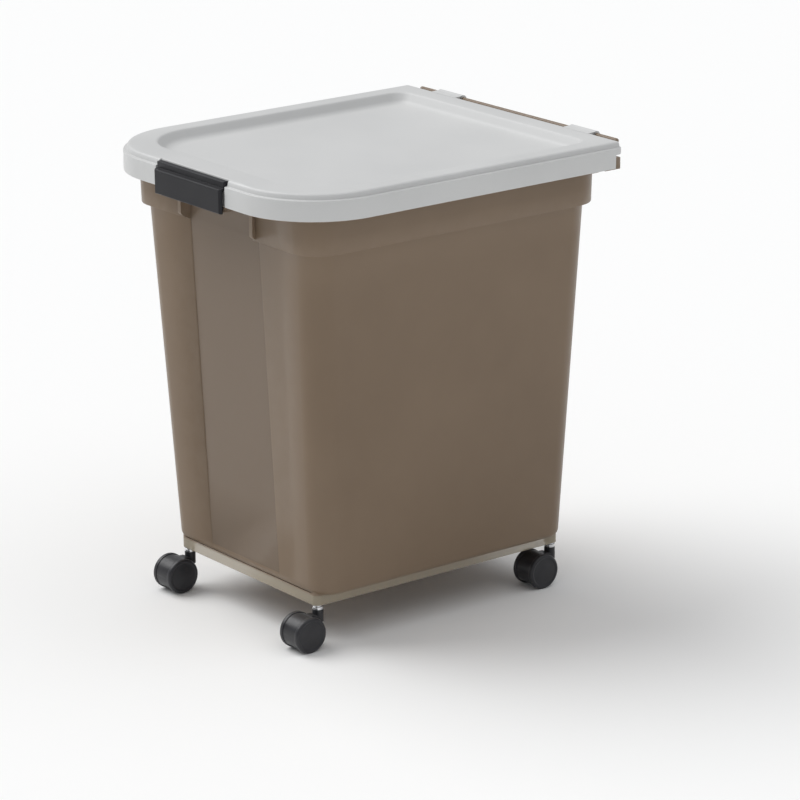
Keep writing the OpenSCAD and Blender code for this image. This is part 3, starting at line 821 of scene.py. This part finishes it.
def makeBracket(bm):
    low, top = tub["bracketLow"], tub["bracketTop"]
    front, back, half = tub["bracketFront"], tub["bracketBack"], tub["bracketX"]
    wall = tub["wall"]
    extruded(bm, [(front, top - wall), (back - wall, top - wall), (back - wall, low), (back, low),
                  (back, top - 0.6), (back - 0.6, top), (front, top)], -half, half)
    for side in (-1, 1):
        first, last = sorted((side * half, side * (half - wall)))
        block(bm, (first, front, low), (last, back - wall, top - wall))


# The hinge rod has domed ends and the latch rod chamfered ones; both are moulded with the tub
def makeRods(bm):
    radius, reach = hingeRod["radius"], hingeRod["halfLength"]
    dome = [(radius * math.sin(math.radians(a)), radius * (1 - math.cos(math.radians(a))))
            for a in (8, 24, 42, 60, 76, 90)]
    profile = [(r, -reach + along) for r, along in dome]
    profile += [(r, reach - along) for r, along in reversed(dome)]
    closeTurned(bm, turned(bm, profile, (0, hingeRod["y"], hingeRod["z"]), "X", 40))
    radius, reach, chamfer = latchRod["radius"], latchRod["halfLength"], 0.4
    profile = [(radius - chamfer, -reach), (radius, chamfer - reach), (radius, reach - chamfer),
               (radius - chamfer, reach)]
    closeTurned(bm, turned(bm, profile, (0, latchRod["y"], latchRod["z"]), "X", 28))


def temporaryShape(name, outline, thickness):
    bm = bmesh.new()
    extruded(bm, outline, -thickness / 2, thickness / 2)
    return finishPiece(name, bm)


# The ears beside the latch niche
def makeEars(bm):
    ear = [(-184.6, 456.2), (-196.5, 463.6), (-198.0, 465.2), (-198.5, 467.0), (-198.5, 505.6),
           (-184.6, 505.6)]
    for side in (-1, 1):
        first, last = sorted((side * tub["earFrom"], side * tub["earTo"]))
        extruded(bm, ear, first, last)


# The posts that carry the hinge rod, and the lugs that carry the latch's
def makePosts(bm):
    front, back = tub["bracketFront"], tub["bracketBack"]
    low, top, rodY, rodZ = tub["bracketLow"], tub["bracketTop"], hingeRod["y"], hingeRod["z"]
    postLine = [(back, low), (back, top + 2), (rodY + 2.2, rodZ), (rodY - 2.2, rodZ),
                (rodY - 4, top - 1), (front, top - 1), (front, low)]
    lugLine = [(-229.1, 496.5), (-229.1, 500.5), (-223.5, 501.5), (-221.5, 506), (-184.8, 506), (-184.8, 497),
               (-222.5, 495.9)]
    postPlaces = [0, 47, -47, 93, -93, 149, -149, 166, -166]
    lugPlaces = [x + 1.5 for x in (-62, -37, -22, 19, 34, 59)]
    rows = [("hingePosts", postLine, 3.5, postPlaces), ("latchLugs", lugLine, 3.0, lugPlaces)]
    for name, outline, thickness, places in rows:
        shape = temporaryShape(name + "Shape", outline, thickness)
        softenEdges(shape, 0.3, 2, 20)
        bm.from_mesh(rowOf(name, shape, [(x, 0, 0) for x in places], "smokePlastic"))
        bpy.data.objects.remove(shape)


def makeTub():
    bm = bmesh.new()
    for addPart in (makeTubShell, makeTubRings, makeSockets, makeBracket, makeRods, makeEars, makePosts):
        addPart(bm)
    assign(finishPiece("tub_moulding", bm, 30, 0.004), "tub", "tub_plastic", "smokePlastic", "tub")


makeTub()
print("tub made")


# Latch

latchPiece = cleanCopy("latch", "latch_moulding", 25)
softenEdges(latchPiece, 0.45, 3, 28)
assign(latchPiece, "latch", "latch_plastic", "latchPlastic", "latch")
print("latch made")


# Casters

caster = {
    "wheelR": 20.5, "halfWidth": 17.2, "web": 3.7, "wellR": 17.0, "treadIn": 11.0, "axleR": 2.05,
    "stemR": 5.0, "flangeR": 6.0, "flangeLow": 43.2, "flangeHigh": 47.2,
}


def makeWheel(name, low, high):
    centre = (low + high) / 2 / mm
    side = 1 if "wheel_right" in name else -1
    middleX = (high.x / mm - caster["halfWidth"]) if side > 0 else (low.x / mm + caster["halfWidth"])
    w, r = caster["halfWidth"], caster["wheelR"]
    axle, web, well, tread = caster["axleR"], caster["web"], caster["wellR"], caster["treadIn"]
    profile = [(axle, w - 2.8), (axle, web), (well - 0.4, web), (well, web + 0.4), (well, tread),
               (r - 0.7, tread), (r - 0.2, 11.25), (r, 11.8), (r, w - 2.6), (r - 0.15, w - 1.8),
               (r - 0.55, w - 1.1), (r - 1.2, w - 0.5), (r - 2.0, w - 0.15), (r - 2.8, w),
               (r - 3.4, w - 0.12), (r - 3.9, w - 0.55), (r - 4.5, w - 0.85), (r - 5.4, w - 0.9),
               (10.5, w - 0.62), (6.0, w - 0.28), (2.5, w - 0.08), (0.6, w - 0.02)]
    bm = bmesh.new()
    sided = [(radius, side * along) for radius, along in profile]
    closeTurned(bm, turned(bm, sided, (middleX, centre.y, centre.z), "X", 96))
    return finishPiece(name + "_disc", bm, 34)


def makeStem(name, low, high):
    x, y = ((low + high) / 2 / mm).xy
    top = high.z / mm
    stem, ring, base, crest = caster["stemR"], caster["flangeR"], caster["flangeLow"], caster["flangeHigh"]
    bm = bmesh.new()
    profile = [(stem - 0.4, 34), (stem, 34.5), (stem, base), (ring - 0.35, base), (ring, base + 0.4),
               (ring, crest - 0.5), (ring - 0.5, crest), (stem, crest), (stem, 59.8), (stem - 1, 60.0),
               (stem - 1, 63.0), (stem, 63.2), (stem, top - 1.6), (stem - 0.3, top - 1.1),
               (stem - 1.4, top - 0.15), (stem - 1.9, top)]
    closeTurned(bm, turned(bm, profile, (x, y, 0), "Z", 48))
    return finishPiece(name + "_turned", bm, 34)


def makeCasterPiece(node):
    body = frame["nodes"][node]["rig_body"]
    low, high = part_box(node)
    if "wheel" in node:
        assign(makeWheel(node, low, high), body, "wheel_plastic", "wheelPlastic", node)
    elif node.endswith("_stem"):
        assign(makeStem(node, low, high), body, "steel", "zincSteel", node)
    elif node.endswith("_hood"):
        piece = cleanCopy(node, node + "_moulding")
        softenEdges(piece, 0.5, 3, 30)
        assign(piece, body, "caster_plastic", "casterPlastic", node)
    else:
        piece = cleanCopy(node, node + "_part")
        softenEdges(piece, 0.15, 2, 40)
        assign(piece, body, "steel", "zincSteel", node)


for node in sorted(frame["nodes"]):
    if node.startswith("caster_"):
        makeCasterPiece(node)
print("casters made")
